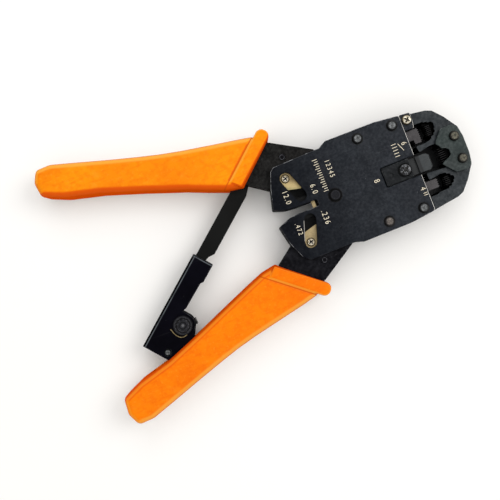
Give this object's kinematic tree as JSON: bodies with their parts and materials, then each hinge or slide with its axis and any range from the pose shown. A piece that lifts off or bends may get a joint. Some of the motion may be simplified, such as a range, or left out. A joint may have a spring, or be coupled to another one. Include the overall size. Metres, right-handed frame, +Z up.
{
  "type": "modular plug crimping tool",
  "caption": "Scissor-handled modular plug crimper: laminated riveted head with die windows, sliding punches, toggle links, strip blades, ratchet strut and moulded grips",
  "frame": {"origin": "on the main pivot rivet axis, in the plane the tool lies on, tool fully open", "axes": "+X from the pivot to the tip of the die head, +Y towards the upper handle, +Z up through the plates to the printed face"},
  "size_m": [0.197, 0.1302, 0.0205],
  "materials": {
    "black_cover": "satin",
    "black_frame": "satin",
    "black_die": "satin",
    "orange_grip": "matte",
    "dark_steel": "satin",
    "punch_steel": "satin",
    "blade_brass": "satin",
    "plated_screw": "gloss",
    "spring_steel": "satin",
    "black_screw": "satin"
  },
  "bodies": {
    "head": {"front_cover": "black_cover", "back_cover": "black_cover", "die_frame_front": "black_frame", "die_frame_core": "black_frame", "die_frame_back": "black_frame", "die_bridge": "black_frame", "die_nest_6p": "black_die", "die_nest_8p": "black_die", "die_nest_4p": "black_die", "frame_rivet_1": "dark_steel", "frame_rivet_2": "dark_steel", "frame_rivet_3": "dark_steel", "frame_rivet_4": "dark_steel", "tip_rivet_1": "dark_steel", "tip_rivet_2": "dark_steel", "main_pivot_rivet": "dark_steel", "latch_guide_plate": "black_cover", "latch_guide_screw": "plated_screw", "strip_anvil_upper": "black_frame", "strip_anvil_lower": "black_frame", "strip_blade_6mm": "blade_brass", "handle_return_spring": "spring_steel"},
    "upper_handle": {"upper_grip": "orange_grip", "upper_cheek_front": "black_cover", "upper_cheek_back": "black_cover", "upper_spacer_rivet": "black_screw", "upper_core_rivet": "dark_steel", "upper_link_pin": "dark_steel", "ratchet_bar_pin": "dark_steel", "upper_blade_seat": "dark_steel", "upper_strip_blade": "blade_brass", "upper_blade_screw": "plated_screw"},
    "lower_handle": {"lower_grip": "orange_grip", "lower_cheek_front": "black_cover", "lower_cheek_back": "black_cover", "lower_spacer_rivet": "black_screw", "lower_core_rivet": "dark_steel", "lower_link_pin": "dark_steel", "ratchet_pivot_pin": "dark_steel", "lower_strip_blade": "blade_brass", "lower_blade_screw": "plated_screw"},
    "plunger": {"plunger_block": "black_frame", "plunger_cap": "black_frame", "plunger_screw": "black_screw", "plunger_pin_upper": "dark_steel", "plunger_pin_lower": "dark_steel", "punch_6p": "punch_steel", "punch_8p": "punch_steel", "punch_4p": "punch_steel"},
    "toggle_link_upper_body": {"toggle_link_upper": "dark_steel"},
    "toggle_link_lower_body": {"toggle_link_lower": "dark_steel"},
    "ratchet_housing_body": {"ratchet_housing": "black_cover", "housing_end_rivet": "dark_steel", "pawl_pin": "black_screw", "pawl_spring": "spring_steel"},
    "ratchet_bar_body": {"ratchet_bar": "black_cover"},
    "ratchet_pawl_body": {"ratchet_pawl": "dark_steel"}
  },
  "joints": [
    {"name": "upper_handle_hinge", "type": "hinge", "parent": "head", "child": "upper_handle", "pos_m": [0, 0, 0.01], "axis": [0, 0, 1], "range_deg": [0, 12.5], "deforming": ["handle_return_spring"]},
    {"name": "lower_handle_hinge", "type": "hinge", "parent": "head", "child": "lower_handle", "pos_m": [0, 0, 0.01], "axis": [0, 0, 1], "range_deg": [-12.5, 0], "deforming": ["handle_return_spring"]},
    {"name": "plunger_slide", "type": "slide", "parent": "head", "child": "plunger", "axis": [1, 0, 0], "range_m": [0, 0.00232]},
    {"name": "toggle_link_lower_hinge", "type": "hinge", "parent": "plunger", "child": "toggle_link_lower_body", "pos_m": [0.022, -0.004, 0.01], "axis": [0, 0, 1], "range_deg": [-4.23, 0]},
    {"name": "toggle_link_upper_hinge", "type": "hinge", "parent": "plunger", "child": "toggle_link_upper_body", "pos_m": [0.022, 0.004, 0.01], "axis": [0, 0, 1], "range_deg": [0, 4.23]},
    {"name": "ratchet_housing_hinge", "type": "hinge", "parent": "lower_handle", "child": "ratchet_housing_body", "pos_m": [-0.0925, -0.049, 0.01], "axis": [0, 0, 1], "range_deg": [-7.01, 0]},
    {"name": "ratchet_bar_slide", "type": "slide", "parent": "ratchet_housing_body", "child": "ratchet_bar_body", "axis": [0.766, 0.6428, 0], "range_m": [-0.01975, 0]},
    {"name": "ratchet_pawl_hinge", "type": "hinge", "parent": "ratchet_housing_body", "child": "ratchet_pawl_body", "pos_m": [-0.08983, -0.03132, 0.01], "axis": [0, 0, 1], "range_deg": [0, 14], "stiffness_Nm_per_rad": 0.02}
  ],
  "couplings": [
    {"joint": "lower_handle_hinge", "follows": "upper_handle_hinge", "ratio": -1},
    {"joint": "plunger_slide", "follows": "upper_handle_hinge", "m_per_rad": 0.010657},
    {"joint": "toggle_link_lower_hinge", "follows": "upper_handle_hinge", "ratio": -0.3384},
    {"joint": "toggle_link_upper_hinge", "follows": "upper_handle_hinge", "ratio": 0.3384},
    {"joint": "ratchet_housing_hinge", "follows": "upper_handle_hinge", "ratio": -0.5608},
    {"joint": "ratchet_bar_slide", "follows": "upper_handle_hinge", "m_per_rad": -0.090527}
  ]
}
